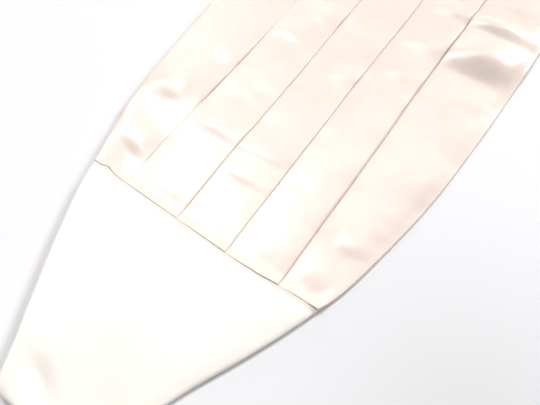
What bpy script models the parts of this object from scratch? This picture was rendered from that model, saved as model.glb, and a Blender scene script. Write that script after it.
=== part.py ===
"""An ivory satin cummerbund, unfastened and laid flat on a surface, outside up.

Metres, +Z up. The origin is on the resting surface, under the middle of the pleated front.
+X runs along the garment to the end with the hook, -X to the end with the eye.
The open side of the folds, which is worn up, faces -Y. Every underside is flat, at Z = 0.

Pieces: the pleated front, a plain tapered side panel at each end of it, and the back
closure, which is two elastic straps, one sewn round an eye and one round a hook.
"""

import math
from collections import namedtuple

import bmesh
import bpy

MM = 0.001

# ---- cloth sizes ----
STRIP = 25.4 * MM  # width that one pleat shows, and the unit of the outlines below
STRIPS = 5  # pleated bands across the front
FRONT_LENGTH = 16 * STRIP
SIDE_LENGTH = 3.55 * STRIP
SEAM_GAP = 0.3 * MM  # pieces stop this far apart where they are sewn together

PLEAT_LOW = 1.6 * MM  # height of a strip where it comes out from under the fold above it
PLEAT_HIGH = 2.9 * MM  # height of a strip at its own folded edge
FLAP = 0.9 * MM  # thickness of that folded edge
UNDERLAP = 5.0 * MM  # how far the next strip runs back under the fold
SLIT_SHARE = 0.9  # height at the back of that slit, as a share of its height at the mouth
FRONT_EDGE_ROUND = 1.1 * MM  # how far the outer edges are rounded in
SEAM_ROUND = 1.4 * MM  # length over which the front's ends roll down into the seams
SEAM_PRESS = 0.72  # the pleats are pressed to this share of their height at a seam
SEAM_PRESS_LENGTH = 0.9 * STRIP
END_FACE_SHARE = 0.35  # the rounded ends keep this share of their height as an upright face
MOUTH_RISE = 0.15  # a strip has risen this share of its way where it comes into sight

SIDE_THICK = 2.3 * MM
SIDE_AT_SEAM = 1.5 * MM  # the side panel lies lower than the front at the seam
SIDE_DIP_LENGTH = 6 * MM
SIDE_EDGE_ROUND = 1.2 * MM
SIDE_CORNER = 7 * MM  # corner radius of the narrow end, seen from above
END_ROUND = 1.2 * MM

# ---- back closure ----
STRAP_WIDTH = 25 * MM
STRAP_THICK = 1.1 * MM
EYE_STRAP_LENGTH = 45 * MM  # from the side panel's end to the turn round the eye's bar
HOOK_STRAP_LENGTH = 120 * MM
STRAP_TURN_BACK = 16 * MM  # the end sewn back on the strap
STRAP_TURN_FALL = (3.8 * MM, 6.2 * MM)  # where that end leaves the bar and reaches the strap
LAYER_GAP = 0.3 * MM

PLATE_THICK = 1.2 * MM
BAR = 2.4 * MM  # width of the bars of the hook and the eye
EYE_WINDOW = 10 * MM
HOOK_WINDOW = 3.6 * MM
WINDOW_SIDE_PLAY = 0.5 * MM
TONGUE_WIDTH = 15 * MM
TONGUE_REACH = 10 * MM
TONGUE_THICK = 1.0 * MM
TONGUE_GAP = 2.6 * MM  # room for the eye's bar inside the hook
TONGUE_RETURN = 8 * MM
TONGUE_LIP = 1.2 * MM
PLATE_CORNER = 2.2 * MM
WINDOW_CORNER = 0.7 * MM

# ---- resolution ----
STATION_STEP = 10 * MM
STATION_CLOSEST = 2.2 * MM
STRIP_SHARES = (0.0, 0.10, 0.26, 0.44, 0.62, 0.80, 0.93)
SIDE_SHARES = (0.75, 0.5, 0.25, 0.0, -0.25, -0.5, -0.75)
ROUND_SHARES = (0.0, 0.2, 0.55, 1.0)  # sections along a rounded end
CORNER_SHARES = (1.0, 0.7, 0.45, 0.25, 0.1, 0.03, 0.0)
CREASE_SHARES = (-1.0, -0.75, -0.5, -0.25, 0.0, 0.25, 0.5, 0.75, 1.0)
EDGE_ANGLES = (-90, -30, 30, 90)
TURN_STEPS = 8
SHARP_ANGLE = 40

# Outlines: distance from the seam and half of the garment's height there, both in strips.
Outline = namedtuple("Outline", "from_seam half_height")
FRONT_OUTLINE = (
    Outline(0.0, 2.17),
    Outline(0.45, 2.34),
    Outline(1.15, 2.50),
    Outline(2.4, 2.71),
    Outline(4.0, 2.83),
    Outline(6.3, 2.90),
    Outline(8.0, 2.91),
)
SIDE_OUTLINE = (
    Outline(0.0, 2.17),
    Outline(0.5, 2.03),
    Outline(1.0, 1.84),
    Outline(2.0, 1.42),
    Outline(3.0, 1.03),
    Outline(3.55, 0.80),
)

# The largest creases: soft ridges across one strip. end is -1 for the seam at -X and +1 for
# the one at +X. from_seam, slope_near and slope_far are in strips, lean is in strips of length
# for one strip of width, and height is in metres.
Crease = namedtuple("Crease", "end strip from_seam lean slope_near slope_far height")
CREASES = (
    Crease(-1, 4, 5.60, 0.00, 0.50, 0.42, 2.0 * MM),
    Crease(-1, 4, 6.52, 0.10, 0.30, 0.30, 1.0 * MM),
    Crease(-1, 0, 0.66, -0.15, 0.24, 0.80, 1.1 * MM),
    Crease(-1, 0, 2.05, 0.20, 0.45, 0.50, 0.5 * MM),
    Crease(1, 0, 4.90, 0.12, 0.40, 0.48, 1.6 * MM),
    Crease(1, 4, 2.35, -0.15, 0.34, 0.50, 1.3 * MM),
    Crease(1, 4, 0.72, 0.10, 0.26, 0.60, 0.9 * MM),
)

SEAM_X = FRONT_LENGTH / 2
SIDE_START = SEAM_X + SEAM_GAP
SIDE_END = SIDE_START + SIDE_LENGTH
STRAP_START = SIDE_END + SEAM_GAP


def smooth(share):
    """0 at 0 and 1 at 1, with a level start and end."""
    share = min(max(share, 0.0), 1.0)
    return share * share * (3 - 2 * share)


def quarter_round(distance, radius):
    """Height of a quarter circle at a distance from its foot, as a share of the radius."""
    inside = 1 - min(max(distance / radius, 0.0), 1.0)
    return math.sqrt(1 - inside * inside)


def half_height_at(outline, distance):
    """The outline's half height in metres, on a smooth curve through its rows."""
    reach = distance / STRIP
    rows = outline
    slopes = [
        (b.half_height - a.half_height) / (b.from_seam - a.from_seam)
        for a, b in zip(rows, rows[1:])
    ]
    tangents = [slopes[0]] + [(a + b) / 2 for a, b in zip(slopes, slopes[1:])] + [slopes[-1]]
    for index, (a, b) in enumerate(zip(rows, rows[1:])):
        if reach <= b.from_seam or index == len(rows) - 2:
            span = b.from_seam - a.from_seam
            share = min(max((reach - a.from_seam) / span, 0.0), 1.0)
            rise = smooth(share)
            bend_in = share * (1 - share) ** 2 * span * tangents[index]
            bend_out = share**2 * (share - 1) * span * tangents[index + 1]
            height = a.half_height * (1 - rise) + b.half_height * rise + bend_in + bend_out
            return height * STRIP
    return rows[-1].half_height * STRIP


def fold_line(strip):
    """Y of the folded edge of a strip. Strip 0 is at the +Y edge."""
    return (STRIPS / 2 - 1 - strip) * STRIP


def strip_edges(x, strip):
    """Y where a strip comes out from under its neighbour, and Y of its own edge."""
    half = half_height_at(FRONT_OUTLINE, SEAM_X - abs(x))
    start = half if strip == 0 else fold_line(strip - 1)
    end = -half if strip == STRIPS - 1 else fold_line(strip)
    return start, end


def crease_lift(x, strip, y):
    """How far the creases raise the front at a point of a strip."""
    start, end = strip_edges(x, strip)
    across = math.sin(math.pi * min(max((start - y) / (start - end), 0.0), 1.0))
    total = 0.0
    for crease in CREASES:
        if crease.strip != strip:
            continue
        from_seam = SEAM_X - crease.end * x
        crest = crease.from_seam * STRIP + crease.lean * (y - (start + end) / 2)
        offset = from_seam - crest
        slope = (crease.slope_near if offset < 0 else crease.slope_far) * STRIP
        total += crease.height * (1 - smooth(abs(offset) / slope)) * math.sqrt(across)
    return total


def front_height(x):
    """Share of the full height at x: pressed near the seams and rolled down into them."""
    from_end = SEAM_X - abs(x)
    pressed = SEAM_PRESS + (1 - SEAM_PRESS) * smooth(from_end / SEAM_PRESS_LENGTH)
    return pressed * max(quarter_round(from_end, SEAM_ROUND), END_FACE_SHARE)


def rounded_edge(y, reach, height, side):
    """An outer edge of cloth: half an ellipse from the underside up, on the side +1 or -1."""
    return [
        (
            y - side * reach * (1 - math.cos(math.radians(angle))),
            height / 2 * (1 + math.sin(math.radians(angle))),
        )
        for angle in EDGE_ANGLES
    ]


def folded_edge(y, top, thickness):
    """The free edge of a pleat, from its top round to its underside. It faces -Y."""
    radius = thickness / 2
    return [
        (
            y + radius * (1 - math.cos(math.radians(angle))),
            top - radius + radius * math.sin(math.radians(angle)),
        )
        for angle in reversed(EDGE_ANGLES)
    ]


def front_section(x):
    """Outline across the front at x: up the +Y edge, over the strips, down the -Y edge."""
    share = front_height(x)
    points = []
    for strip in range(STRIPS):
        start, end = strip_edges(x, strip)
        if strip == 0:
            edge = rounded_edge(start, FRONT_EDGE_ROUND, PLEAT_LOW * share, 1)
            points += edge[:-1]
            start -= FRONT_EDGE_ROUND
        else:
            mouth = PLEAT_HIGH * share - FLAP * share
            points.append((start + UNDERLAP, mouth * SLIT_SHARE))
            points.append((start + UNDERLAP, PLEAT_LOW * share * SLIT_SHARE))
        last = strip == STRIPS - 1
        stop = end + (FRONT_EDGE_ROUND if last else FLAP / 2)
        for across in STRIP_SHARES:
            y = start + (stop - start) * across
            risen = smooth(MOUTH_RISE + (1 - MOUTH_RISE) * across)
            height = PLEAT_LOW + (PLEAT_HIGH - PLEAT_LOW) * risen + crease_lift(x, strip, y)
            points.append((y, height * share))
        if last:
            points += reversed(rounded_edge(end, FRONT_EDGE_ROUND, PLEAT_HIGH * share, -1))
        else:
            points += folded_edge(end, PLEAT_HIGH * share, FLAP * share)
    return points


def front_stations():
    """X of the sections of the front: an even step, closer at the seams and the creases."""
    first = [SEAM_ROUND * share - SEAM_X for share in ROUND_SHARES]
    steps = round(FRONT_LENGTH / STATION_STEP)
    wanted = [FRONT_LENGTH * step / steps - SEAM_X for step in range(1, steps)]
    for crease in CREASES:
        for share in CREASE_SHARES:
            slope = crease.slope_near if share < 0 else crease.slope_far
            wanted.append(crease.end * (SEAM_X - (crease.from_seam + share * slope) * STRIP))
    kept = list(first)
    for x in sorted(wanted):
        if x - kept[-1] >= STATION_CLOSEST and first[-1] + x <= -STATION_CLOSEST:
            kept.append(x)
    return kept + [-x for x in reversed(first)]


def side_section(distance):
    """Outline across a side panel at a distance from its seam."""
    half = half_height_at(SIDE_OUTLINE, distance)
    from_end = SIDE_LENGTH - distance
    half -= SIDE_CORNER * (1 - quarter_round(from_end, SIDE_CORNER))
    dip = (SIDE_THICK - SIDE_AT_SEAM) * (1 - smooth(distance / SIDE_DIP_LENGTH))
    thick = (SIDE_THICK - dip) * max(quarter_round(from_end, END_ROUND), END_FACE_SHARE)
    points = rounded_edge(half, SIDE_EDGE_ROUND, thick, 1)
    flat = half - SIDE_EDGE_ROUND
    points += [(flat * share, thick) for share in SIDE_SHARES]
    points += reversed(rounded_edge(-half, SIDE_EDGE_ROUND, thick, -1))
    return points


def side_distances():
    """Distances from the seam of a side panel's sections."""
    dip = [SIDE_DIP_LENGTH * share for share in ROUND_SHARES]
    corner = [SIDE_LENGTH - SIDE_CORNER * share for share in CORNER_SHARES]
    span = corner[0] - dip[-1]
    steps = round(span / STATION_STEP)
    middle = [dip[-1] + span * step / steps for step in range(1, steps)]
    return dip + middle + corner


def ribbon(path, thickness):
    """Outline of a band of even thickness along a path of (x, z) points."""
    left, right = [], []
    for index, (x, z) in enumerate(path):
        before = path[max(index - 1, 0)]
        after = path[min(index + 1, len(path) - 1)]
        run, rise = after[0] - before[0], after[1] - before[1]
        length = math.hypot(run, rise)
        offset_x, offset_z = -rise / length * thickness / 2, run / length * thickness / 2
        left.append((x + offset_x, z + offset_z))
        right.append((x - offset_x, z - offset_z))
    return left + right[::-1]


def half_turn(x, z, radius, steps):
    """Points of a half circle that bulges to +X, from its lower end to its upper end."""
    angles = [math.pi * (step / steps - 0.5) for step in range(steps + 1)]
    return [(x + radius * math.cos(a), z + radius * math.sin(a)) for a in angles]


def loft(name, stations, section, material):
    """A closed wall through equal sections, capped at both ends."""
    mesh = bmesh.new()
    rings = [
        [mesh.verts.new((x, y, z)) for y, z in section(position)]
        for x, position in stations
    ]
    for ring, following in zip(rings, rings[1:]):
        for index in range(len(ring)):
            after = (index + 1) % len(ring)
            mesh.faces.new((ring[index], ring[after], following[after], following[index]))
    mesh.faces.new(rings[0])
    mesh.faces.new(rings[-1])
    return finished(name, mesh, material)


def extruded(name, outline, width, material):
    """A closed solid from an outline of (x, z) points, as wide as stated along Y."""
    mesh = bmesh.new()
    near = [mesh.verts.new((x, -width / 2, z)) for x, z in outline]
    far = [mesh.verts.new((x, width / 2, z)) for x, z in outline]
    for index in range(len(outline)):
        after = (index + 1) % len(outline)
        mesh.faces.new((near[index], near[after], far[after], far[index]))
    mesh.faces.new(near)
    mesh.faces.new(far)
    return finished(name, mesh, material)


def rounded_rectangle(low_x, high_x, half_width, radius, steps=4):
    """Corner points of a rounded rectangle in the XY plane."""
    corners = (
        (high_x - radius, half_width - radius, 0),
        (low_x + radius, half_width - radius, 90),
        (low_x + radius, radius - half_width, 180),
        (high_x - radius, radius - half_width, 270),
    )
    points = []
    for x, y, start in corners:
        for step in range(steps + 1):
            angle = math.radians(start + 90 * step / steps)
            points.append((x + radius * math.cos(angle), y + radius * math.sin(angle)))
    return points


def window_plate(name, window_length, material):
    """A flat ring round the strap's end. Its strap bar is centred on the local origin."""
    half_window = STRAP_WIDTH / 2 + WINDOW_SIDE_PLAY
    far_window = BAR / 2 + window_length
    outer = rounded_rectangle(-BAR / 2, far_window + BAR, half_window + BAR, PLATE_CORNER)
    inner = rounded_rectangle(BAR / 2, far_window, half_window, WINDOW_CORNER)
    mesh = bmesh.new()
    loops = [
        [mesh.verts.new((x, y, z)) for x, y in points]
        for points, z in (
            (outer, -PLATE_THICK / 2),
            (outer, PLATE_THICK / 2),
            (inner, PLATE_THICK / 2),
            (inner, -PLATE_THICK / 2),
        )
    ]
    for loop, following in zip(loops, loops[1:] + loops[:1]):
        for index in range(len(loop)):
            after = (index + 1) % len(loop)
            mesh.faces.new((loop[index], loop[after], following[after], following[index]))
    return finished(name, mesh, material)


def finished(name, mesh, material):
    """Turns a bmesh into a named object with its faces outward and its round parts smooth."""
    bmesh.ops.recalc_face_normals(mesh, faces=mesh.faces)
    data = bpy.data.meshes.new(name)
    mesh.to_mesh(data)
    mesh.free()
    data.materials.append(material)
    data.shade_smooth()
    data.set_sharp_from_angle(angle=math.radians(SHARP_ANGLE))
    piece = bpy.data.objects.new(name, data)
    bpy.context.scene.collection.objects.link(piece)
    return piece


def make_material(name, colour, roughness, metallic=0.0):
    material = bpy.data.materials.new(name)
    material.use_nodes = True
    shader = material.node_tree.nodes["Principled BSDF"]
    shader.inputs["Base Color"].default_value = (*colour, 1.0)
    shader.inputs["Roughness"].default_value = roughness
    shader.inputs["Metallic"].default_value = metallic
    return material


def make_front(material):
    return loft("pleated_front", [(x, x) for x in front_stations()], front_section, material)


def make_side(name, end, material):
    stations = [(end * (SIDE_START + distance), distance) for distance in side_distances()]
    return loft(name, stations, side_section, material)


def make_strap(name, end, length, material):
    """A flat strap whose end turns up round a bar and is sewn back on itself."""
    low = STRAP_THICK / 2
    turn = (PLATE_THICK + STRAP_THICK) / 2 + LAYER_GAP
    level = low + 2 * turn
    high = low + STRAP_THICK + LAYER_GAP
    path = [(0.0, low), (length / 2, low)]
    path += half_turn(length, low + turn, turn, TURN_STEPS)
    path += [(length - STRAP_TURN_FALL[0], level), (length - STRAP_TURN_FALL[1], high)]
    path += [(length - STRAP_TURN_BACK, high)]
    outline = [(end * (STRAP_START + x), z) for x, z in ribbon(path, STRAP_THICK)]
    return extruded(name, outline, STRAP_WIDTH, material)


def seat_plate(plate, end, strap_length, far_reach):
    """Lays a plate with its bar inside the strap's turn and its far end on the surface."""
    bar_x = STRAP_START + strap_length - BAR / 2 - LAYER_GAP
    bar_z = STRAP_THICK + LAYER_GAP + PLATE_THICK / 2
    drop = math.asin((bar_z - PLATE_THICK / 2) / far_reach)
    plate.location = (end * bar_x, 0.0, bar_z)
    plate.rotation_euler = (0.0, drop, 0.0 if end > 0 else math.pi)


def make_eye(material):
    eye = window_plate("eye", EYE_WINDOW, material)
    seat_plate(eye, -1, EYE_STRAP_LENGTH, BAR * 1.5 + EYE_WINDOW)
    return eye


def make_hook(material):
    """A window plate with a tongue bent back over itself."""
    hook = window_plate("hook", HOOK_WINDOW, material)
    root = BAR + HOOK_WINDOW
    radius = (TONGUE_GAP + TONGUE_THICK) / 2
    bend = root + TONGUE_REACH
    path = [(root - BAR / 4, 0.0), (bend, 0.0)]
    path += half_turn(bend, radius, radius, TURN_STEPS)[1:]
    path += [(bend - TONGUE_RETURN, 2 * radius)]
    path += [(bend - TONGUE_RETURN - 2 * TONGUE_LIP, 2 * radius + TONGUE_LIP)]
    tongue = extruded("hook_tongue", ribbon(path, TONGUE_THICK), TONGUE_WIDTH, material)
    tongue.display_type = "WIRE"
    tongue.hide_render = True
    tongue.parent = hook
    join = hook.modifiers.new("tongue", "BOOLEAN")
    join.operation = "UNION"
    join.solver = "EXACT"
    join.object = tongue
    seat_plate(hook, 1, HOOK_STRAP_LENGTH, bend)
    return hook


def main():
    for old in list(bpy.data.objects):
        bpy.data.objects.remove(old)
    satin = make_material("satin_front", (0.93, 0.87, 0.78), 0.38)
    plain_satin = make_material("satin_side", (0.95, 0.92, 0.85), 0.38)
    elastic = make_material("elastic", (0.90, 0.86, 0.77), 0.75)
    metal = make_material("nickel", (0.72, 0.71, 0.69), 0.28, 1.0)
    make_front(satin)
    make_side("side_panel_eye_end", -1, plain_satin)
    make_side("side_panel_hook_end", 1, plain_satin)
    make_strap("strap_eye_end", -1, EYE_STRAP_LENGTH, elastic)
    make_strap("strap_hook_end", 1, HOOK_STRAP_LENGTH, elastic)
    make_eye(metal)
    make_hook(metal)


main()
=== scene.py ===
"""The looks of the ivory satin cummerbund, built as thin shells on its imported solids."""

import math
from collections import namedtuple

import bpy
import numpy as np
from mathutils import Matrix, Vector


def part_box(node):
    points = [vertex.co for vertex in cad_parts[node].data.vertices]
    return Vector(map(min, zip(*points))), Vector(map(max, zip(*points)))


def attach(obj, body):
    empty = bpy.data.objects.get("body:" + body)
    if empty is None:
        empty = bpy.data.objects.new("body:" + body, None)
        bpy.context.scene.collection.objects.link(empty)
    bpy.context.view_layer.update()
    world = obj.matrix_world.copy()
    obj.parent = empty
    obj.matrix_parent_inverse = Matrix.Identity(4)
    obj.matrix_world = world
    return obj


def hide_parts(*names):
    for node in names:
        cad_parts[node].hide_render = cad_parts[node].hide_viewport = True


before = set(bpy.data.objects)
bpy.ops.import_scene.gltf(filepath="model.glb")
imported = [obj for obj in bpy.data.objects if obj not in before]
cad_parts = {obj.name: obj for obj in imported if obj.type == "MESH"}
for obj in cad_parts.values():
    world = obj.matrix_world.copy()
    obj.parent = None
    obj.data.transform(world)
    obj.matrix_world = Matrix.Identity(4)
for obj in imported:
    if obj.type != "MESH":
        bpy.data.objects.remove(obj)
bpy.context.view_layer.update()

MM = 0.001

# ---------------------------------------------------------------- sizes of the cloth
STRIP = 25.4 * MM  # width that one pleat shows, and the unit of the tables below
STRIPS = 5
_, FRONT_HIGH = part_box("pleated_front")
SEAM_X = FRONT_HIGH.x
SIDE_LOW, SIDE_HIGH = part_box("side_panel_hook_end")
SIDE_START = SIDE_LOW.x
SIDE_LENGTH = SIDE_HIGH.x - SIDE_LOW.x

# The front.
UNDERLAP = 5.0 * MM
PRESS_LENGTH = 1.8 * STRIP  # the pleats lie flatter over this length from the seam
PRESS_SHARE = 0.62  # how high they lie at the seam itself, as a share
CROWN = 0.3 * MM  # height of the gentle arch across each strip
STRIP_BOW = 0.8  # power of the rise from a strip's +Y side to its fold
MOUTH = 0.04 * MM  # gap under a folded edge
SLIT_PART = 0.4  # the slit behind that gap has points at its inner end and this far in
SLIT_ROOF = (0.02 * MM, 0.01 * MM)  # how far its roof sinks at those two places
SLIT_FLOOR = (0.30 * MM, 0.12 * MM)  # and its floor, below the strip's level
EDGE_ROLL = 0.55 * MM  # width of the turned long edges
# The long edges at +Y and at -Y: how far they stand off the surface and how thick the cloth
# is there. Each has its value far from the seams and what the seams add, in millimetres,
# and the length over which that fades, in strips.
EDGE_LIFT = {1: (0.5, 1.2, 2.2), -1: (0.1, 0.5, 1.2)}
EDGE_WALL = {1: (1.5, 0.4, 1.5), -1: (0.7, 0.6, 1.5)}
# Width over which those edges leave the level of the cloth beside them.
EDGE_LIFT_REACH = {1: 14 * MM, -1: 6 * MM}

# The seams between the front and the side panels.
SEAM_REACH = 5.0 * MM  # how far the bulk of the seam allowance lifts the front beside it
SEAM_BULK = 1.02 * MM
LAST_BULK = 0.32 * MM  # how much more the last strip is lifted
LAST_BULK_FADE = 3  # that is reached over one part in this many of the strip's width
CORNER_LOW = 0.65  # share of the bulk that is missing at the front's +Y corner
SIDE_SEAM_REACH = 2.8 * MM  # the same reach and bulk for the side panel
SIDE_SEAM_BULK = 0.40 * MM
SIDE_SEAM_DIP = 0.45 * MM  # how far the side panel is drawn down beside that rise
SIDE_DIP_REACH = 7.0 * MM
SEAM_ROLL = 0.32 * MM  # width over which the front turns down into the seam
SIDE_SEAM_ROLL = 0.14 * MM  # the same for the side panel
SEAM_DEPTH = 0.90 * MM
SEAM_CLOSE = 0.1 * MM  # each piece reaches this much further than its solid
SEAM_WARP = 16 * MM  # the seam's wandering dies out over this length

# The side panels.
SIDE_THICK = 2.7 * MM
SIDE_MIDDLE = SIDE_THICK * 0.45  # level to which the strap's end closes
SIDE_WALL = 2.4 * MM  # thickness of the cloth along its turned edges
SIDE_ROLL = {1: 0.6 * MM, -1: 0.9 * MM}  # how wide the turned edge is at +Y and at -Y
SIDE_EDGE_LIFT = {1: 1.7 * MM, -1: 0.0}  # how far those edges stand off the surface
SIDE_LIFT_END = 6 * MM  # that lift comes down over this length at the strap's end
SIDE_CORNER = 4.5 * MM
SIDE_END_ROLL = 1.2 * MM
SIDE_END_OPEN = 0.3  # share of the thickness that stays open at the strap's end
RISE_FALL = 2.2  # how fast a soft rise dies away outside its half sizes

# Where the points lie.
FRONT_STEP = 1.4 * MM  # spacing of the sections along the garment
SIDE_STEP = 1.4 * MM
STRIP_POINTS = 16  # points across one strip
UNDER_POINTS = 64  # points across the underside
SIDE_POINTS = 72
SIDE_EVEN = 0.75  # share of even spacing across a side panel; the rest is closer at its edges
ROLL_SHARES = (0.0, 0.06, 0.2, 0.42, 0.7, 1.0)  # sections over a seam's roll
END_SHARES = (0.7, 0.4, 0.2, 0.07, 0.0)  # the same at a side panel's far end
FRONT_NEAR = (0.5, 1.1)  # closer sections beside the roll, in millimetres from it
SIDE_NEAR = (0.3, 0.7, 1.2, 1.8, 2.6, 3.5)
EDGE_ANGLES = np.radians(np.linspace(75, -75, 7))  # over a turned edge, from its top
FOLD_ANGLES = np.radians(np.linspace(72, -90, 9))  # round a folded edge, from its top
MAP_SCALE = 10  # the cloth's flat map repeats this often in a metre

# The straps and their stitches.
STRAP_START = SIDE_START + SIDE_LENGTH + 0.3 * MM
STRAP_WIDTH = 25 * MM
STRAP_THICK = 1.1 * MM
STRAP_LENGTH = {"strap_eye_end": 45 * MM, "strap_hook_end": 120 * MM}  # to the bar's turn
STRAP_TURN_BACK = 16 * MM
STRAP_TUCK = 6 * MM  # held inside the side panel
STRAP_DROP = (0.4 * MM, 7 * MM)  # it comes down from the panel between these places
STRAP_CLOSE = (2.6 * MM, 7.0 * MM)  # its two layers meet between these, back from the turn
STRAP_RIBS = 13
RIB_DEPTH = 0.10 * MM
SELVEDGE_POWER = 14  # the higher, the narrower the rounded selvedge
STRAP_STEP = 0.6 * MM
STRAP_POINTS = 92
TURN_POINTS = 9
PLATE_THICK = 1.2 * MM
LAYER_GAP = 0.3 * MM
SEWN_GAP = 0.05 * MM
THREAD = 0.34 * MM
STITCH = 2.3 * MM
STITCH_RINGS = 7
STITCH_SIDES = 8
STITCH_ARCH = 0.7  # height of a stitch's arch, in threads
STITCH_END = 0.55  # thickness of the thread where it goes into the cloth, as a share
STITCH_SHARES = (0.08, 0.92)  # part of its place that a stitch fills
BOX_NEAR = 1.6 * MM  # the box of stitches ends this far from the strap's end,
BOX_FAR = 8.2 * MM  # this far from the turn
BOX_SIDE = 2.6 * MM  # and this far from the selvedges
BOX_LIFT = 0.02 * MM

# The unevenness of the cloth: its height, the length of its waves and the first seed. The
# strap's height is a share of its width.
Ripple = namedtuple("Ripple", "height length seed")
FRONT_RIPPLE = Ripple(0.10 * MM, 34 * MM, 11)
SIDE_RIPPLE = Ripple(0.10 * MM, 40 * MM, 31)
FOLD_RIPPLE = Ripple(0.12 * MM, 22 * MM, 40)
STRAP_RIPPLE = Ripple(0.008, 30 * MM, 71)
RIPPLE_WAVES = 7
RIPPLE_SPREAD = (0.6, 1.7)  # shortest and longest wave, as shares of the length
RIPPLE_GAIN = 1.6

# ---------------------------------------------------------------- outline, seams and folds
# Half heights of the outline: distance from the seam and half height, both in strips.
FRONT_OUTLINE = (
    (0.0, 2.17), (0.45, 2.34), (1.15, 2.50), (2.4, 2.71), (4.0, 2.83), (6.3, 2.90), (8.0, 2.91),
)
SIDE_OUTLINE = (
    (0.0, 2.17), (0.5, 2.03), (1.0, 1.84), (2.0, 1.42), (3.0, 1.03), (3.55, 0.80),
)
# How the outline strays from that, as laid: end and side, then distance from the seam in
# strips, negative on the side panel, and the shift outwards in millimetres.
OUTLINE_DRIFT = {
    (-1, 1): ((-3.55, 1.2), (-2.9, 0.8), (-2.3, 1.8), (-1.7, 2.2), (-1.1, 1.9), (-0.2, 1.3),
              (0.4, 0.6), (0.8, 0.5), (1.2, 1.5), (1.7, 0.9), (2.4, 0.4), (3.7, 0.3), (8.0, 0.0)),
    (-1, -1): ((-3.55, -2.4), (-2.0, -2.0), (-1.4, -1.2), (-0.8, -0.6), (-0.2, -0.2),
               (0.2, 0.3), (1.0, 0.2), (2.5, 0.0), (8.0, 0.0)),
    (1, 1): ((-3.55, -0.9), (-2.4, -0.6), (-1.2, 0.4), (-0.3, 0.7), (0.5, 0.2), (1.6, 0.5),
             (3.2, -0.3), (8.0, 0.0)),
    (1, -1): ((-3.55, 0.8), (-2.2, 1.0), (-1.0, 0.2), (0.0, 0.4), (1.3, -0.2), (3.0, 0.3),
              (5.5, -0.1), (8.0, 0.0)),
}
# How the seams wander: y and the shift away from the front's middle, both in millimetres.
SEAM_DRIFT = {
    -1: ((-60, 2.2), (-50, 2.0), (-42, 2.2), (-36, 2.5), (-30, 3.0), (-18, 3.1), (0, 2.6),
         (20, 1.9), (36, 1.3), (45.2, 0.8), (48.2, 0.1), (50.3, -0.1), (51.2, 0.6), (53, 0.9),
         (55, 0.8), (60, 0.7)),
    1: ((-60, 0.3), (-34, -0.4), (-8, 0.4), (22, 1.1), (44, 0.4), (60, -0.2)),
}
# How the folded edges wander: end and strip, then distance from the seam in strips and the
# shift towards -Y in millimetres.
FOLD_DRIFT = {
    (-1, 0): ((0, -0.7), (0.6, -0.9), (1.4, -1.1), (2.0, -0.3), (3.0, 0.1), (4.6, 0.25), (8, 0)),
    (-1, 1): ((0, 1.1), (0.6, 1.05), (1.4, 0.6), (2.2, 1.0), (3.4, 1.0), (4.6, 0.7), (8, 0.3)),
    (-1, 2): ((0, 0.4), (1.5, 0.25), (2.8, 0.1), (4.2, -0.15), (5.2, 0.2), (8, 0)),
    (-1, 3): ((0, -0.6), (1.5, -0.45), (3.2, -0.45), (4.2, -0.8), (5.0, -0.45), (6.6, 0.1),
              (8, 0)),
    (1, 0): ((0, 0.5), (1.2, 0.7), (2.6, -0.2), (4.4, -0.5), (8, 0)),
    (1, 1): ((0, -0.6), (1.0, -0.3), (2.4, 0.5), (4.0, 0.3), (6.0, 0.4), (8, 0.3)),
    (1, 2): ((0, 0.2), (1.6, -0.5), (3.4, -0.3), (5.0, 0.4), (8, 0)),
    (1, 3): ((0, -0.3), (1.4, 0.4), (3.0, 0.6), (4.8, 0.0), (8, 0)),
}

# Heights at which a strip comes out from under its neighbour (low) and at its own fold.
Fold = namedtuple("Fold", "low high")
FOLDS = (
    Fold(1.9 * MM, 2.2 * MM),
    Fold(2.0 * MM, 2.55 * MM),
    Fold(2.0 * MM, 2.65 * MM),
    Fold(2.0 * MM, 3.1 * MM),
    Fold(1.6 * MM, 1.7 * MM),
)

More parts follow.
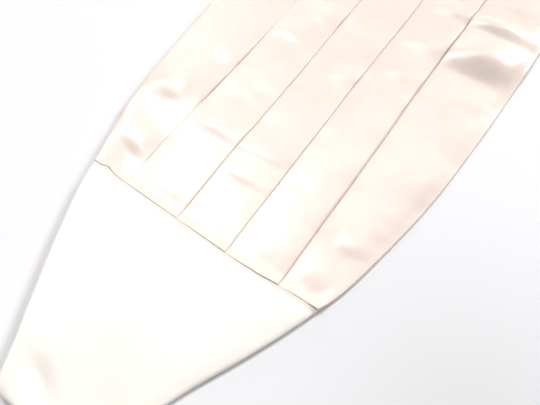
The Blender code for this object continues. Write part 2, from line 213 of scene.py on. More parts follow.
# ---------------------------------------------------------------- creases
# Soft ridges on the strips. end: -1 for the half at -X, +1 for the half at +X. crest, rise
# and fall are in strips: the crest's distance from the seam, and the slopes on its side
# towards -X and towards +X. across is its middle over the strip's width, from 0 at the
# strip's +Y side to 1 at its fold, reach the share of the width that it crosses, and lean
# the crest's shift, in strips, from one side of the strip to the other.
Ridge = namedtuple("Ridge", "end strip crest rise fall height across reach lean")
RIDGES = (
    # strip 0
    Ridge(-1, 0, 0.19, 0.11, 0.12, 0.55 * MM, 0.25, 0.50, 0.06),
    Ridge(-1, 0, 0.66, 0.27, 0.60, 1.75 * MM, 0.52, 0.66, -0.05),
    Ridge(-1, 0, 2.04, 0.56, 1.00, 2.00 * MM, 0.55, 0.80, 0.42),
    Ridge(-1, 0, 3.10, 0.34, 0.90, 0.90 * MM, 0.75, 0.60, 0.05),
    Ridge(-1, 0, 5.30, 0.50, 0.80, 0.70 * MM, 0.50, 0.90, 0.10),
    # strip 1
    Ridge(-1, 1, 0.30, 0.26, 1.10, 0.90 * MM, 0.60, 1.00, 0.00),
    Ridge(-1, 1, 1.68, 0.32, 0.70, 0.65 * MM, 0.45, 0.75, 0.18),
    Ridge(-1, 1, 3.10, 0.40, 0.60, 0.55 * MM, 0.70, 0.60, -0.15),
    Ridge(-1, 1, 4.12, 0.16, 0.50, 0.80 * MM, 0.45, 0.60, 0.02),
    Ridge(-1, 1, 4.90, 0.40, 0.42, 1.10 * MM, 0.75, 0.60, 0.10),
    # strip 2
    Ridge(-1, 2, 0.28, 0.26, 0.80, 0.55 * MM, 0.50, 1.00, 0.00),
    Ridge(-1, 2, 1.12, 0.16, 0.40, 0.50 * MM, 0.40, 0.90, 0.05),
    Ridge(-1, 2, 1.68, 0.22, 0.60, 0.80 * MM, 0.40, 0.80, 0.10),
    Ridge(-1, 2, 3.84, 0.26, 0.32, 1.00 * MM, 0.80, 0.55, 0.10),
    Ridge(-1, 2, 4.74, 0.46, 0.40, 1.15 * MM, 0.55, 0.62, 0.10),
    Ridge(-1, 2, 6.10, 0.50, 0.60, 0.60 * MM, 0.40, 0.80, 0.00),
    # strip 3
    Ridge(-1, 3, 0.30, 0.26, 0.80, 0.60 * MM, 0.60, 1.00, 0.00),
    Ridge(-1, 3, 3.75, 0.60, 0.40, 0.55 * MM, 0.55, 0.80, 0.00),
    Ridge(-1, 3, 4.46, 0.34, 0.36, 0.85 * MM, 0.58, 0.55, 0.05),
    Ridge(-1, 3, 5.24, 0.24, 0.50, 0.55 * MM, 0.45, 0.70, 0.04),
    Ridge(-1, 3, 6.38, 0.36, 0.38, 0.70 * MM, 0.40, 0.60, 0.10),
    # strip 4
    Ridge(-1, 4, 0.38, 0.28, 0.50, 0.70 * MM, 0.50, 0.75, -0.10),
    Ridge(-1, 4, 1.06, 0.17, 0.40, 0.55 * MM, 0.70, 0.45, 0.00),
    Ridge(-1, 4, 2.40, 0.40, 0.55, 0.25 * MM, 0.60, 0.60, 0.10),
    Ridge(-1, 4, 4.56, 0.30, 0.60, 0.50 * MM, 0.40, 0.60, 0.05),
    Ridge(-1, 4, 5.61, 0.60, 0.95, 5.00 * MM, 0.46, 0.80, 0.20),
    Ridge(-1, 4, 6.44, 0.32, 0.34, 3.80 * MM, 0.38, 0.80, 0.16),
    Ridge(-1, 4, 7.20, 0.34, 0.60, 1.00 * MM, 0.45, 0.80, 0.10),
    # the half at +X, which the photograph doesn't show
    Ridge(1, 0, 0.50, 0.30, 0.70, 1.10 * MM, 0.45, 0.80, 0.08),
    Ridge(1, 0, 1.70, 0.60, 0.50, 0.70 * MM, 0.70, 0.80, -0.08),
    Ridge(1, 0, 3.30, 0.70, 0.60, 0.60 * MM, 0.55, 0.90, 0.10),
    Ridge(1, 0, 4.90, 0.50, 0.62, 3.20 * MM, 0.46, 0.74, 0.12),
    Ridge(1, 0, 5.80, 0.32, 0.40, 1.00 * MM, 0.60, 0.80, 0.05),
    Ridge(1, 1, 0.75, 0.40, 0.60, 0.80 * MM, 0.50, 0.90, 0.00),
    Ridge(1, 1, 2.30, 0.35, 0.60, 0.95 * MM, 0.45, 0.60, 0.14),
    Ridge(1, 1, 4.20, 0.40, 0.50, 0.60 * MM, 0.70, 0.70, 0.00),
    Ridge(1, 1, 6.50, 0.60, 0.50, 0.60 * MM, 0.50, 0.90, 0.10),
    Ridge(1, 2, 1.10, 0.40, 0.40, 0.60 * MM, 0.60, 0.80, 0.05),
    Ridge(1, 2, 3.00, 0.50, 0.70, 0.70 * MM, 0.40, 0.80, 0.00),
    Ridge(1, 2, 5.20, 0.35, 0.50, 1.25 * MM, 0.55, 0.60, -0.16),
    Ridge(1, 3, 0.60, 0.30, 0.60, 0.70 * MM, 0.50, 0.90, 0.00),
    Ridge(1, 3, 2.60, 0.40, 0.50, 0.60 * MM, 0.60, 0.80, 0.08),
    Ridge(1, 3, 4.60, 0.40, 0.40, 1.10 * MM, 0.45, 0.65, 0.06),
    Ridge(1, 3, 6.90, 0.45, 0.60, 0.80 * MM, 0.55, 0.90, 0.06),
    Ridge(1, 4, 0.72, 0.30, 0.60, 1.20 * MM, 0.45, 0.80, 0.10),
    Ridge(1, 4, 2.35, 0.45, 0.70, 2.60 * MM, 0.52, 0.74, -0.18),
    Ridge(1, 4, 3.60, 0.50, 0.60, 0.70 * MM, 0.40, 0.80, 0.00),
    Ridge(1, 4, 5.90, 0.60, 0.50, 0.90 * MM, 0.60, 0.90, 0.08),
)

# Soft rises and dents on the side panels: place from the seam and from the middle line in
# strips (+ towards +Y), half sizes along and across in strips, height (negative for a
# dent), and how far, in strips, its middle shifts along for each strip across.
Rise = namedtuple("Rise", "end from_seam off_middle along across height lean")
RISES = (
    Rise(-1, 3.06, 0.50, 0.26, 0.50, -0.95 * MM, -0.30),
    Rise(-1, 2.85, -0.55, 0.40, 0.50, -0.35 * MM, -0.20),
    Rise(-1, 1.45, -0.10, 1.30, 1.60, 0.45 * MM, 0.0),
    Rise(1, 1.60, 0.20, 1.20, 1.50, 0.55 * MM, 0.0),
    Rise(1, 2.75, -0.35, 0.34, 0.60, -0.80 * MM, 0.25),
    Rise(1, 0.85, 0.90, 0.55, 0.50, 0.35 * MM, 0.0),
)

# ---------------------------------------------------------------- camera, light, floor
CAMERA_FOOT = (-0.27218, -0.08003)  # under the camera
CAMERA_HEIGHT = 0.2156
CAMERA_RIGHT = Vector((0.56870, -0.82254, 0.0))
CAMERA_UP = Vector((0.72542, 0.50155, 0.47140))
CAMERA_BACK = Vector((-0.38775, -0.26809, 0.88192))
LENS = 40.0
SENSOR = 36.0
VIEW_CENTRE = Vector((-0.178, -0.015, 0.0))

# Soft white panels round the garment. Azimuth from +X towards +Y and elevation in degrees,
# distance and size in metres, power in watts.
Panel = namedtuple("Panel", "name azimuth elevation distance size power")
PANELS = (
    Panel("window", -14, 28, 8.40, 2.32, 400.0),
    Panel("key", 55.5, 58, 8.40, 2.10, 304.0),
    Panel("right_high", 14, 54, 4.20, 1.40, 15.5),
    Panel("far_low", 40, 17, 4.20, 1.89, 47.5),
    Panel("top", 88, 66, 3.20, 1.60, 10.4),
    Panel("left", 165, 50, 1.50, 0.60, 0.9),
    Panel("fill", -105, 33, 1.60, 0.60, 6.2),
)
WORLD_COLOUR = (1.0, 0.93, 0.87)
WORLD_STRENGTH = 0.11

FLOOR_HALF = 3.0
FLOOR_DROP = 0.15 * MM
FLOOR_PALE = (0.862, 0.857, 0.886)
# Colour of the floor's painted shade: a greyer patch, greyest at its middle.
FLOOR_PAINTED_SHADE_GREY = (0.670, 0.680, 0.692)
FLOOR_SHADE = (-0.215, -0.125, 0.0)  # middle of the floor's painted shade, a slightly greyer patch
FLOOR_SHADE_REACH = 0.16


# ---------------------------------------------------------------- helpers
def smooth(share):
    """0 at 0 and 1 at 1, with a level start and end. Works on arrays."""
    share = np.clip(share, 0.0, 1.0)
    return share * share * (3 - 2 * share)


def quarter_round(distance, radius):
    """Height of a quarter circle at a distance from its foot, as a share of the radius."""
    inside = 1 - np.clip(np.asarray(distance) / radius, 0.0, 1.0)
    return np.sqrt(1 - inside * inside)


def through(rows, x):
    """The smooth curve through rows of (x, value), at x, a number or an array."""
    xs, values = np.array(rows, float).T
    slopes = np.diff(values) / np.diff(xs)
    tangents = np.concatenate([slopes[:1], (slopes[1:] + slopes[:-1]) / 2, slopes[-1:]])
    index = np.clip(np.searchsorted(xs, x, side="right") - 1, 0, len(xs) - 2)
    span = xs[index + 1] - xs[index]
    share = np.clip((x - xs[index]) / span, 0.0, 1.0)
    rise = smooth(share)
    bend_in = share * (1 - share) ** 2 * span * tangents[index]
    bend_out = share**2 * (share - 1) * span * tangents[index + 1]
    return values[index] * (1 - rise) + values[index + 1] * rise + bend_in + bend_out


def edge_y(end, side, reach):
    """Distance of the outline from the middle line. reach: strips from the seam, negative
    on the side panel."""
    outline = FRONT_OUTLINE if reach >= 0 else SIDE_OUTLINE
    drift = through(OUTLINE_DRIFT[end, side], reach) * MM
    return float(through(outline, abs(reach)) * STRIP + drift)


def follow_seam(points, end, from_seam):
    """Shifts points, in place, with the wandering of the seam near them."""
    drift = through(SEAM_DRIFT[end], points[..., 1] / MM) * MM
    points[..., 0] += end * drift * (1 - smooth(from_seam / SEAM_WARP))


def ripple(kind, number, x, y):
    """A soft, repeatable unevenness at points in metres: a sum of slow waves."""
    draw = np.random.default_rng(kind.seed + number)
    total = np.zeros(np.broadcast(x, y).shape)
    for _ in range(RIPPLE_WAVES):
        angle, phase = draw.uniform(0, 2 * math.pi, 2)
        length = kind.length * draw.uniform(*RIPPLE_SPREAD)
        total += np.sin(
            2 * math.pi * (x * math.cos(angle) + y * math.sin(angle)) / length + phase
        )
    return kind.height * (total / RIPPLE_WAVES * RIPPLE_GAIN)


def link_object(name, data):
    made = bpy.data.objects.new(name, data)
    bpy.context.scene.collection.objects.link(made)
    return made


def mesh_object(name, material, points, faces, uv=None):
    """An object from arrays of points and faces, smooth all over."""
    data = bpy.data.meshes.new(name)
    data.from_pydata([tuple(p) for p in points], [], [tuple(int(i) for i in f) for f in faces])
    data.validate()
    data.shade_smooth()
    data.materials.append(material)
    if uv is not None:
        layer = data.uv_layers.new(name="cloth")
        loops = np.zeros(len(data.loops), np.int32)
        data.loops.foreach_get("vertex_index", loops)
        layer.data.foreach_set("uv", np.asarray(uv, np.float32)[loops].ravel())
    return link_object(name, data)


def face_out(data):
    """Turns the faces of a closed mesh outwards if the volume inside comes out negative."""
    data.calc_loop_triangles()
    corners = np.zeros(len(data.loop_triangles) * 3, np.int32)
    data.loop_triangles.foreach_get("vertices", corners)
    points = np.zeros(len(data.vertices) * 3, np.float32)
    data.vertices.foreach_get("co", points)
    a, b, c = (points.reshape(-1, 3)[corners.reshape(-1, 3)[:, k]] for k in range(3))
    if (np.cross(a, b) * c).sum() < 0:
        data.flip_normals()


def shell(name, material, tops, bottoms, mapped):
    """A closed wall between two sets of sections, both (sections, points, 3)."""
    sections, count, _ = tops.shape
    below = bottoms.shape[1]
    ring = count + below
    points = np.concatenate([tops, bottoms[:, ::-1]], axis=1).reshape(-1, 3)
    start = np.arange(sections - 1)[:, None] * ring
    column = np.arange(ring)[None, :]
    after = (column + 1) % ring
    sides = np.stack(
        [start + column, start + after, start + ring + after, start + ring + column], -1
    )
    faces = [tuple(face) for face in sides.reshape(-1, 4)]
    for offset, flip in ((0, True), ((sections - 1) * ring, False)):
        faces += cap_faces(count, below, offset, flip)
    uv = points[:, :2] * MAP_SCALE if mapped else None
    piece = mesh_object(name, material, points, faces, uv)
    face_out(piece.data)
    return piece


def cap_faces(count, below, offset, flip):
    """Closes a ring's end with a strip of faces between its top row and its bottom row."""
    top = [offset + i for i in range(count)]
    bottom = [offset + count + below - 1 - i for i in range(below)]
    faces = []
    i = j = 0
    while i < count - 1 or j < below - 1:
        if j >= below - 1 or (i < count - 1 and i * (below - 1) <= j * (count - 1)):
            face = (top[i], top[i + 1], bottom[j])
            i += 1
        else:
            face = (top[i], bottom[j + 1], bottom[j])
            j += 1
        faces.append(face[::-1] if flip else face)
    return faces


# ---------------------------------------------------------------- materials
def set_inputs(node, values):
    for name, value in values.items():
        node.inputs[name].default_value = value


def add_node(nodes, kind, values):
    """A node of a kind with values on its inputs."""
    node = nodes.new(kind)
    set_inputs(node, values)
    return node


def new_material(name, values):
    """A material with values on its shader: itself, its nodes, their links, the shader."""
    material = bpy.data.materials.new(name)
    material.use_nodes = True
    tree = material.node_tree
    shader = tree.nodes["Principled BSDF"]
    set_inputs(shader, values)
    return material, tree.nodes, tree.links, shader


def texture(nodes, links, kind, values, stretch=None):
    """The factor output of a texture in the object's own coordinates, stretched if asked."""
    place = nodes.new("ShaderNodeTexCoord").outputs["Object"]
    if stretch:
        mapping = add_node(nodes, "ShaderNodeMapping", {"Scale": stretch})
        links.new(place, mapping.inputs["Vector"])
        place = mapping.outputs["Vector"]
    made = add_node(nodes, kind, values)
    links.new(place, made.inputs["Vector"])
    return made.outputs["Fac"]


def map_range(nodes, links, factor, values):
    spread = add_node(nodes, "ShaderNodeMapRange", values)
    links.new(factor, spread.inputs["Value"])
    return spread.outputs["Result"]


def tint(nodes, links, shader, factor, low, high):
    """Gives the shader a colour between two, driven by a factor output."""
    mix = nodes.new("ShaderNodeMix")
    mix.data_type = "RGBA"
    mix.inputs[6].default_value = (*low, 1)
    mix.inputs[7].default_value = (*high, 1)
    links.new(factor, mix.inputs[0])
    links.new(mix.outputs[2], shader.inputs["Base Color"])


def bump(nodes, links, height, strength, distance):
    """A bump node that is driven by a factor output."""
    made = add_node(nodes, "ShaderNodeBump", {"Strength": strength, "Distance": distance})
    links.new(height, made.inputs["Height"])
    return made


def satin(name, pale, warm, roughness, dent_depth):
    """Ivory satin: a broad sheen, slow clouds of tone, faint dents and a fine weave."""
    material, nodes, links, shader = new_material(name, {
        "Roughness": roughness, "Specular IOR Level": 0.65, "Anisotropic": 0.3,
        "Sheen Weight": 0.08, "Sheen Roughness": 0.4,
    })
    clouds = texture(nodes, links, "ShaderNodeTexNoise",
                     {"Scale": 75, "Detail": 5, "Roughness": 0.62})
    spread = map_range(nodes, links, clouds, {"From Min": 0.32, "From Max": 0.68})
    tint(nodes, links, shader, spread, pale, warm)
    dents = texture(nodes, links, "ShaderNodeTexNoise",
                    {"Scale": 80, "Detail": 1, "Roughness": 0.35})
    soft = bump(nodes, links, dents, 1.0, dent_depth)
    threads = texture(nodes, links, "ShaderNodeTexNoise", {"Scale": 1.0, "Detail": 2},
                      stretch=(900, 4200, 1))
    weave = bump(nodes, links, threads, 0.08, 0.05 * MM)
    links.new(soft.outputs["Normal"], weave.inputs["Normal"])
    links.new(weave.outputs["Normal"], shader.inputs["Normal"])
    return material


def elastic_webbing(name):
    """Ribbed ivory elastic: matt yarn with fine cross threads over the modelled ribs."""
    material, nodes, links, shader = new_material(name, {"Roughness": 0.7, "Sheen Weight": 0.2})
    threads = texture(nodes, links, "ShaderNodeTexWave",
                      {"Scale": 420, "Distortion": 1.2, "Detail": 2, "Detail Scale": 3})
    tint(nodes, links, shader, threads, (0.74, 0.69, 0.60), (0.86, 0.82, 0.74))
    relief = bump(nodes, links, threads, 0.5, 0.12 * MM)
    links.new(relief.outputs["Normal"], shader.inputs["Normal"])
    return material


def nickel_plating(name):
    """Satin nickel with faint brushing along the plate and slight dulling."""
    material, nodes, links, shader = new_material(name, {"Metallic": 1.0})
    brushing = texture(nodes, links, "ShaderNodeTexNoise", {"Scale": 1.0, "Detail": 3},
                       stretch=(250, 2500, 800))
    dulling = map_range(nodes, links, brushing, {"To Min": 0.22, "To Max": 0.40})
    links.new(dulling, shader.inputs["Roughness"])
    tint(nodes, links, shader, brushing, (0.70, 0.69, 0.67), (0.80, 0.79, 0.77))
    return material


def sewing_thread(name):
    """Ivory thread, paler and darker by turns along its twist."""
    material, nodes, links, shader = new_material(name, {"Roughness": 0.55})
    twist = texture(nodes, links, "ShaderNodeTexWave", {"Scale": 900})
    tint(nodes, links, shader, twist, (0.70, 0.64, 0.54), (0.84, 0.79, 0.70))
    return material


# ---------------------------------------------------------------- pleated front
def fold_line(strip, x):
    """Y of the folded edge of a strip at x, with its slight wandering."""
    end = -1 if x < 0 else 1
    straight = (STRIPS / 2 - 1 - strip) * STRIP
    drift = float(through(FOLD_DRIFT[end, strip], (SEAM_X - abs(x)) / STRIP)) * MM
    return straight - drift + float(ripple(FOLD_RIPPLE, strip, x, straight))


def ridge_lift(x, strip, share):
    """Height that the creases add at x, for shares across a strip."""
    total = np.zeros_like(share)
    for ridge in RIDGES:
        if ridge.strip != strip:
            continue
        crest = ridge.end * (SEAM_X - ridge.crest * STRIP)
        crest += ridge.lean * STRIP * (share - 0.5)
        offset = x - crest
        slope = np.where(offset < 0, ridge.rise, ridge.fall) * STRIP
        across = 1 - smooth(np.abs(share - ridge.across) / ridge.reach)
        total += ridge.height * (1 - smooth(np.abs(offset) / slope)) * across
    return total


def seam_share(from_seam):
    """How much of the seam allowance's bulk lifts the front at a distance from the seam."""
    return float(1 - smooth(from_seam / SEAM_REACH))


def seam_round(from_seam, roll):
    """Depth of the crevice along the seam."""
    return SEAM_DEPTH * float(1 - quarter_round(from_seam, roll))


def edge_measure(table, x, side):
    """EDGE_LIFT or EDGE_WALL at x."""
    far, near, fade = table[side]
    return (far + near * math.exp(-(SEAM_X - abs(x)) / STRIP / fade)) * MM


def rolled_edge(y, top, low, side, radius):
    """Points of a turned edge that bulges to y, from its top to its underside."""
    ys = y - side * radius * (1 - np.cos(EDGE_ANGLES))
    zs = (top + low) / 2 + (top - low) / 2 * np.sin(EDGE_ANGLES)
    return ys, zs


def front_sections():
    """X of the front's sections: an even step with closer ones at the seams."""
    end = SEAM_X + SEAM_CLOSE
    near = [end - SEAM_ROLL * share for share in ROLL_SHARES]
    near += [end - SEAM_ROLL - step * MM for step in FRONT_NEAR]
    steps = round(2 * near[-1] / FRONT_STEP)
    middle = np.linspace(-near[-1], near[-1], steps + 1)
    return np.concatenate([[-x for x in near[:-1]], middle, near[-2::-1]])


def strip_shares():
    """Places across a strip from 0 to 1, closer at its two sides."""
    closer = (1 - np.cos(np.linspace(0, math.pi, STRIP_POINTS))) / 2
    return (closer + np.linspace(0, 1, STRIP_POINTS)) / 2


def strip_heights(x, strip, y, shares, press):
    """Heights across a strip without the seam's bulk, and how far its fold is lifted by what
    rises in the next strip."""
    low, high = FOLDS[strip].low * press, FOLDS[strip].high * press
    z = low + (high - low) * shares**STRIP_BOW + CROWN * np.sin(math.pi * shares) * press
    for number, side, level in ((0, 1, low), (STRIPS - 1, -1, high)):
        if strip == number:
            rim = edge_measure(EDGE_LIFT, x, side) + edge_measure(EDGE_WALL, x, side) - level
            if side > 0:
                rim -= SEAM_BULK * seam_share(distance_in(x)) * CORNER_LOW
            inside = np.abs(y - (y[0] if side > 0 else y[-1]))
            z += rim * (1 - smooth(inside / EDGE_LIFT_REACH[side]))
    z += ridge_lift(x, strip, shares) * press
    lifted = 0.0
    if strip < STRIPS - 1:
        lifted = float(ridge_lift(x, strip + 1, np.zeros(1))[0]) * press
        z += lifted * smooth(shares)
    return z + ripple(FRONT_RIPPLE, strip, x, y), lifted


def distance_in(x):
    """Distance from the front's end at x, along the garment."""
    return max(SEAM_X + SEAM_CLOSE - abs(x), 0.0)


def front_top(x):
    """The front's upper outline at x: (y, z) from its +Y edge over the strips to -Y."""
    end = -1 if x < 0 else 1
    from_seam = distance_in(x)
    reach = from_seam / STRIP
    press = PRESS_SHARE + (1 - PRESS_SHARE) * float(smooth(from_seam / PRESS_LENGTH))
    bulk = SEAM_BULK * seam_share(from_seam) - seam_round(from_seam, SEAM_ROLL)
    shares = strip_shares()
    ys, zs = [], []

    def add(y, z):
        ys.append(np.atleast_1d(y))
        zs.append(np.atleast_1d(z))

    for strip, fold in enumerate(FOLDS):
        first, last = strip == 0, strip == STRIPS - 1
        start = edge_y(end, 1, reach) if first else fold_line(strip - 1, x)
        stop = -edge_y(end, -1, reach) if last else fold_line(strip, x)
        z, lifted = strip_heights(x, strip, start + (stop - start) * shares, shares, press)
        z += bulk
        # where the strip comes out: the garment's +Y edge, or from under its neighbour
        if first:
            edge_lift = edge_measure(EDGE_LIFT, x, 1)
            edge_ys, edge_zs = rolled_edge(start, float(z[0]), edge_lift, 1, EDGE_ROLL)
            add(edge_ys[::-1], edge_zs[::-1])
            start -= EDGE_ROLL
        else:
            low = fold.low * press
            add(start + UNDERLAP, low + MOUTH + bulk - SLIT_ROOF[0])
            for share, depth in zip((1.0, SLIT_PART), SLIT_FLOOR):
                add(start + UNDERLAP * share, low - depth * press + bulk)
        # over the strip, and down at the garment's -Y edge or round the strip's own fold
        if last:
            z += LAST_BULK * seam_share(from_seam) * smooth(LAST_BULK_FADE * shares)
            edge_ys, edge_zs = rolled_edge(
                stop, float(z[-1]), edge_measure(EDGE_LIFT, x, -1), -1, EDGE_ROLL
            )
            add(start + (stop + EDGE_ROLL - start) * shares, z)
            add(edge_ys, edge_zs)
            continue
        flap = fold.high * press - FOLDS[strip + 1].low * press - MOUTH
        y = start + (stop + flap / 2 - start) * shares
        add(y[1:] if first else y, z[1:] if first else z)
        under = fold.high * press - flap + lifted + bulk
        middle, radius = (z[-1] + under) / 2, (z[-1] - under) / 2
        add(stop + flap / 2 * (1 - np.cos(FOLD_ANGLES)), middle + radius * np.sin(FOLD_ANGLES))
        add(stop + UNDERLAP * SLIT_PART, under - SLIT_ROOF[1])
    return np.concatenate(ys), np.concatenate(zs)


def front_bottom(x):
    """The underside: flat on the surface, rising towards both long edges."""
    end = -1 if x < 0 else 1
    reach = distance_in(x) / STRIP
    edges = {side: edge_y(end, side, reach) for side in (1, -1)}
    y = np.linspace(edges[1] - EDGE_ROLL, -edges[-1] + EDGE_ROLL, UNDER_POINTS)
    z = np.zeros_like(y)
    for side, edge in edges.items():
        inside = smooth((edge - side * y) / EDGE_LIFT_REACH[side])
        z += edge_measure(EDGE_LIFT, x, side) * (1 - inside)
    return y, z


def section(x, outline):
    y, z = outline
    return np.stack([np.full_like(y, x), y, z], -1)


def make_front(material):
    places = front_sections()
    tops = np.array([section(x, front_top(x)) for x in places])
    bottoms = np.array([section(x, front_bottom(x)) for x in places])
    distances = (SEAM_X - np.abs(places))[:, None]
    half = len(places) // 2
    for part in (tops, bottoms):
        follow_seam(part[:half], -1, distances[:half])
        follow_seam(part[half:], 1, distances[half:])
    piece = shell("pleated_front_satin", material, tops, bottoms, mapped=True)
    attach(piece, "root")
    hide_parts("pleated_front")
    return piece


# ---------------------------------------------------------------- side panels
def side_seam_lift(from_seam):
    """The side panel's rise over the seam's bulk, in a shallow trough, less the crevice."""
    rise = SIDE_SEAM_BULK * max(1 - from_seam / SIDE_SEAM_REACH, 0.0) ** 2
    rise -= SIDE_SEAM_DIP * float(1 - smooth(from_seam / SIDE_DIP_REACH))
    return rise - seam_round(from_seam, SIDE_SEAM_ROLL)


def side_edge_lift(distance, side):
    """How far a side panel's long edge stands off the surface."""
    return SIDE_EDGE_LIFT[side] * float(quarter_round(SIDE_LENGTH - distance, SIDE_LIFT_END))


def side_close(distance):
    """Share of its thickness that a side panel keeps at a distance from its seam."""
    return float(quarter_round(SIDE_LENGTH - distance, SIDE_END_ROLL))


def side_distances():
    """Distances of a side panel's sections from its seam, closer at both ends."""
    near = [SIDE_SEAM_ROLL * share for share in ROLL_SHARES]
    near += [SIDE_SEAM_ROLL + step * MM for step in SIDE_NEAR[:-1]]
    far = [SIDE_LENGTH - SIDE_END_ROLL * share for share in END_SHARES]
    start = SIDE_SEAM_ROLL + SIDE_NEAR[-1] * MM
    steps = round((SIDE_LENGTH - start - SIDE_END_ROLL) / SIDE_STEP)
    middle = np.linspace(start, SIDE_LENGTH - SIDE_END_ROLL, steps + 1)
    return np.concatenate([near, middle, far])


def side_edges(end, distance):
    """Distances of a side panel's two edges from the middle line, with rounded corners."""
    cut = SIDE_CORNER * float(1 - quarter_round(SIDE_LENGTH - distance, SIDE_CORNER))
    return {side: edge_y(end, side, -distance / STRIP) - cut for side in (1, -1)}


def side_top(end, distance):
    """A side panel's upper outline at a distance from its seam."""
    edges = side_edges(end, distance)
    spread = np.linspace(1, -1, SIDE_POINTS)
    spread = SIDE_EVEN * spread + (1 - SIDE_EVEN) * np.sin(math.pi / 2 * spread)
    left, right = edges[1] - SIDE_ROLL[1], -edges[-1] + SIDE_ROLL[-1]
    y = (left + right) / 2 + spread * (left - right) / 2
    z = np.full_like(y, SIDE_THICK + side_seam_lift(distance))
    for side, edge in edges.items():
        rim = side_edge_lift(distance, side) + SIDE_WALL - SIDE_THICK
        z += rim * (1 - smooth((edge - side * y) / EDGE_LIFT_REACH[side]))
    for rise in RISES:
        if rise.end == end:
            aside = y / STRIP - rise.off_middle
            along = (distance / STRIP - rise.from_seam - rise.lean * aside) / rise.along
            across = aside / rise.across
            z += rise.height * np.exp(-RISE_FALL * (along**2 + across**2))
    z += ripple(SIDE_RIPPLE, end, end * distance, y)
    z = SIDE_MIDDLE + (z - SIDE_MIDDLE) * side_close(distance)
    low_share = max(side_close(distance), SIDE_END_OPEN)
    turned = {}
    for side, top in ((1, z[0]), (-1, z[-1])):
        low = SIDE_MIDDLE + (side_edge_lift(distance, side) - SIDE_MIDDLE) * low_share
        turned[side] = rolled_edge(side * edges[side], float(top), low, side, SIDE_ROLL[side])
    return tuple(
        np.concatenate([turned[1][k][::-1], values[1:-1], turned[-1][k]])
        for k, values in enumerate((y, z))
    )


def side_bottom(end, distance):
    """A side panel's underside at a distance from its seam."""
    edges = side_edges(end, distance)
    y = np.linspace(edges[1] - SIDE_ROLL[1], -edges[-1] + SIDE_ROLL[-1], SIDE_POINTS)
    z = np.zeros_like(y)
    for side, edge in edges.items():
        inside = smooth((edge - side * y) / EDGE_LIFT_REACH[side])
        z += side_edge_lift(distance, side) * (1 - inside)
    return y, SIDE_MIDDLE + (z - SIDE_MIDDLE) * max(side_close(distance), SIDE_END_OPEN)


def make_side(node, end, material):
    distances = side_distances()
    start = SIDE_START - SEAM_CLOSE
    tops = np.array([section(end * (start + d), side_top(end, d)) for d in distances])
    bottoms = np.array([section(end * (start + d), side_bottom(end, d)) for d in distances])
    for part in (tops, bottoms):
        follow_seam(part, end, distances[:, None])
    piece = shell(node + "_satin", material, tops, bottoms, mapped=True)
    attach(piece, "root")
    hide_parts(node)
    return piece


# ---------------------------------------------------------------- straps, stitches, metal
def rounded_path(corners, step):
    """Points a step apart along (x, z) corners, with the corners rounded off."""
    path = np.array(corners, float)
    for _ in range(3):
        before, after = path[:-1] * 0.75 + path[1:] * 0.25, path[:-1] * 0.25 + path[1:] * 0.75
        path = np.concatenate([path[:1], np.stack([before, after], 1).reshape(-1, 2), path[-1:]])
    run = np.concatenate([[0], np.cumsum(np.hypot(*np.diff(path, axis=0).T))])
    places = np.linspace(0, run[-1], round(run[-1] / step) + 1)
    return np.stack([np.interp(places, run, path[:, k]) for k in (0, 1)], -1), run[-1]


def strap_corners(length):
    """The strap's middle line as (x, z): out of the panel, along, round the bar and back."""
    low = STRAP_THICK / 2
    turn = (PLATE_THICK + STRAP_THICK) / 2 + LAYER_GAP
    high = low + STRAP_THICK + SEWN_GAP
    angles = np.linspace(-math.pi / 2, math.pi / 2, TURN_POINTS)
    return (
        [(-STRAP_TUCK, SIDE_MIDDLE), (STRAP_DROP[0], SIDE_MIDDLE), (STRAP_DROP[1], low)]
        + [(length / 2, low)]
        + [(length + turn * math.cos(a), low + turn + turn * math.sin(a)) for a in angles]
        + [(length - STRAP_CLOSE[0], low + 2 * turn), (length - STRAP_CLOSE[1], high)]
        + [(length - STRAP_TURN_BACK, high)]
    )


def make_strap(node, end, length, material):
    """Elastic webbing: raised ribs along it, rolled selvedges and a slightly wavy lie."""
    path, run = rounded_path(strap_corners(length), STRAP_STEP)
    tangents = np.gradient(path, axis=0)
    tangents /= np.hypot(*tangents.T)[:, None]
    normals = np.stack([-tangents[:, 1], tangents[:, 0]], -1)
    across = np.linspace(-1, 1, STRAP_POINTS)
    rib = 0.5 + 0.5 * np.cos(across * math.pi * STRAP_RIBS)
    selvedge = np.sqrt(np.clip(1 - np.abs(across) ** SELVEDGE_POWER, 0, 1))
    half = (STRAP_THICK / 2 - RIB_DEPTH * rib) * selvedge
    walls = {1: [], -1: []}
    for row, (point, normal) in enumerate(zip(path, normals)):
        place = row * run / (len(path) - 1)
        draw_in = 1 - float(ripple(STRAP_RIPPLE, end, place, 0.0))
        y = across * (STRAP_WIDTH / 2) * draw_in
        for sign, wall in walls.items():
            x = point[0] + sign * half * normal[0]
            z = point[1] + sign * half * normal[1]
            wall.append(np.stack([end * (STRAP_START + x), y, z], -1))
    piece = shell(node + "_webbing", material, np.array(walls[1]), np.array(walls[-1]),
                  mapped=False)
    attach(piece, "root")
    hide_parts(node)
    return piece, run


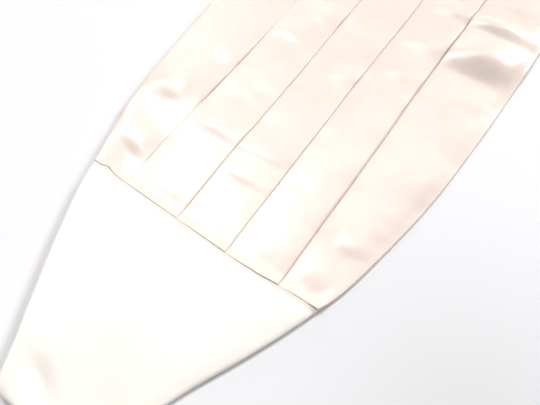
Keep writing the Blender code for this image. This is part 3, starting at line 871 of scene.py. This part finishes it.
def stitch_mesh(name, stitches, material):
    """Short sunk loops of thread, each from one point to another, on a surface facing up."""
    points, faces = [], []
    up = Vector((0, 0, 1))
    for a, b in stitches:
        a, b = Vector(a), Vector(b)
        side = up.cross((b - a).normalized()).normalized()
        base = len(points)
        for k in range(STITCH_RINGS):
            share = k / (STITCH_RINGS - 1)
            arch = math.sin(math.pi * share)
            centre = a.lerp(b, share) + up * (THREAD * STITCH_ARCH * arch)
            radius = THREAD / 2 * (STITCH_END + (1 - STITCH_END) * arch)
            for j in range(STITCH_SIDES):
                angle = 2 * math.pi * j / STITCH_SIDES
                points.append(centre + side * radius * math.cos(angle)
                              + up * radius * math.sin(angle))
        for k in range(STITCH_RINGS - 1):
            ring = base + k * STITCH_SIDES
            for j in range(STITCH_SIDES):
                n = (j + 1) % STITCH_SIDES
                faces.append((ring + j, ring + n, ring + STITCH_SIDES + n,
                              ring + STITCH_SIDES + j))
        faces.append(tuple(base + j for j in reversed(range(STITCH_SIDES))))
        faces.append(tuple(ring + STITCH_SIDES + j for j in range(STITCH_SIDES)))
    piece = mesh_object(name, material, points, faces)
    face_out(piece.data)
    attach(piece, "root")
    return piece


def box_stitches(end, length):
    """A rectangle of stitches with a cross through it, on the strap's turned-back end."""
    top = STRAP_THICK * 2 + BOX_LIFT
    near, far = length - STRAP_TURN_BACK + BOX_NEAR, length - BOX_FAR
    wide = STRAP_WIDTH / 2 - BOX_SIDE
    corners = [(near, -wide), (far, -wide), (far, wide), (near, wide), (near, -wide), (far, wide)]
    lines = list(zip(corners, corners[1:])) + [((near, wide), (far, -wide))]
    stitches = []
    for (x0, y0), (x1, y1) in lines:
        count = max(round(math.hypot(x1 - x0, y1 - y0) / STITCH), 1)
        for k in range(count):
            shares = [(k + part) / count for part in STITCH_SHARES]
            stitches.append([
                (end * (STRAP_START + x0 + (x1 - x0) * t), y0 + (y1 - y0) * t, top)
                for t in shares
            ])
    return stitches


def make_metal(node, material):
    """The stamped plate of the solid with its edges eased."""
    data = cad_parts[node].data.copy()
    data.materials.clear()
    data.materials.append(material)
    data.shade_smooth()
    piece = link_object(node + "_plate", data)
    ease = piece.modifiers.new("eased_edges", "BEVEL")
    ease.width = 0.22 * MM
    ease.segments = 3
    ease.limit_method = "ANGLE"
    ease.angle_limit = math.radians(38)
    ease.harden_normals = True
    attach(piece, "root")
    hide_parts(node)
    return piece


# ---------------------------------------------------------------- studio
def add_light(panel):
    """A soft round panel that faces the middle of the view and stays unseen itself."""
    data = bpy.data.lights.new(panel.name, "AREA")
    data.shape = "DISK"
    data.size = panel.size
    data.energy = panel.power
    turn, rise = math.radians(panel.azimuth), math.radians(panel.elevation)
    flat = math.cos(rise)
    away = Vector((math.cos(turn) * flat, math.sin(turn) * flat, math.sin(rise)))
    lamp = link_object(panel.name, data)
    lamp.location = VIEW_CENTRE + away * panel.distance
    lamp.rotation_mode = "QUATERNION"
    lamp.rotation_quaternion = away.to_track_quat("Z", "Y")
    lamp.visible_camera = False


def make_floor():
    """A pale floor with painted shade beside the garment: a slightly greyer patch, greyest in its
    middle.
    """
    material, nodes, links, shader = new_material("pale_floor_painted_shade", {"Roughness": 0.6})
    place = nodes.new("ShaderNodeTexCoord")
    shift = add_node(nodes, "ShaderNodeMapping",
                     {"Location": FLOOR_SHADE, "Scale": (FLOOR_SHADE_REACH,) * 3})
    shift.vector_type = "TEXTURE"
    # painted shade: the floor turns greyer towards this patch's middle
    painted_shade_patch = nodes.new("ShaderNodeTexGradient")
    painted_shade_patch.gradient_type = "QUADRATIC_SPHERE"
    links.new(place.outputs["Object"], shift.inputs["Vector"])
    links.new(shift.outputs["Vector"], painted_shade_patch.inputs["Vector"])
    tint(nodes, links, shader, painted_shade_patch.outputs["Fac"], FLOOR_PALE, FLOOR_PAINTED_SHADE_GREY)
    corners = ((-1, -1), (1, -1), (1, 1), (-1, 1))
    points = [(x * FLOOR_HALF, y * FLOOR_HALF, 0) for x, y in corners]
    floor = mesh_object("floor", material, points, [(0, 1, 2, 3)])
    floor.location.z = -FLOOR_DROP


def make_camera():
    data = bpy.data.cameras.new("camera")
    data.lens = LENS
    data.sensor_width = SENSOR
    data.clip_start = 0.01
    camera = link_object("camera", data)
    turn = Matrix((CAMERA_RIGHT, CAMERA_UP, CAMERA_BACK)).transposed()
    camera.rotation_mode = "QUATERNION"
    camera.rotation_quaternion = turn.to_quaternion()
    camera.location = (*CAMERA_FOOT, CAMERA_HEIGHT)
    bpy.context.scene.camera = camera


def make_world():
    """Faint, warm light from all round."""
    world = bpy.data.worlds.new("studio")
    world.use_nodes = True
    set_inputs(world.node_tree.nodes["Background"],
               {"Color": (*WORLD_COLOUR, 1), "Strength": WORLD_STRENGTH})
    bpy.context.scene.world = world


def main():
    make_camera()
    make_world()
    make_floor()
    for panel in PANELS:
        add_light(panel)
    front_satin = satin("ivory_satin_front", (0.898, 0.783, 0.709), (0.868, 0.726, 0.652),
                        roughness=0.34, dent_depth=0.7 * MM)
    # Painted sheen: the side panels' satin gets a paler, whiter colour than the front's, standing
    # in for the brighter sheen of the same satin.
    side_satin_painted_sheen = satin("ivory_satin_side_painted_sheen", (0.95, 0.90, 0.845), (0.94, 0.88, 0.82),
                       roughness=0.40, dent_depth=0.2 * MM)
    webbing = elastic_webbing("ivory_elastic")
    metal = nickel_plating("satin_nickel")
    thread = sewing_thread("ivory_thread")
    front = make_front(front_satin)
    for node, end in (("side_panel_eye_end", -1), ("side_panel_hook_end", 1)):
        side = make_side(node, end, side_satin_painted_sheen)
    for node, end in (("strap_eye_end", -1), ("strap_hook_end", 1)):
        length = STRAP_LENGTH[node]
        webbing_piece, run = make_strap(node, end, length, webbing)
        stitches = stitch_mesh(node + "_stitches", box_stitches(end, length), thread)
    for node in ("eye", "hook"):
        make_metal(node, metal)
    view = bpy.context.scene.view_settings
    view.view_transform = "Standard"
    view.look = "None"
    view.exposure = 0.0


main()
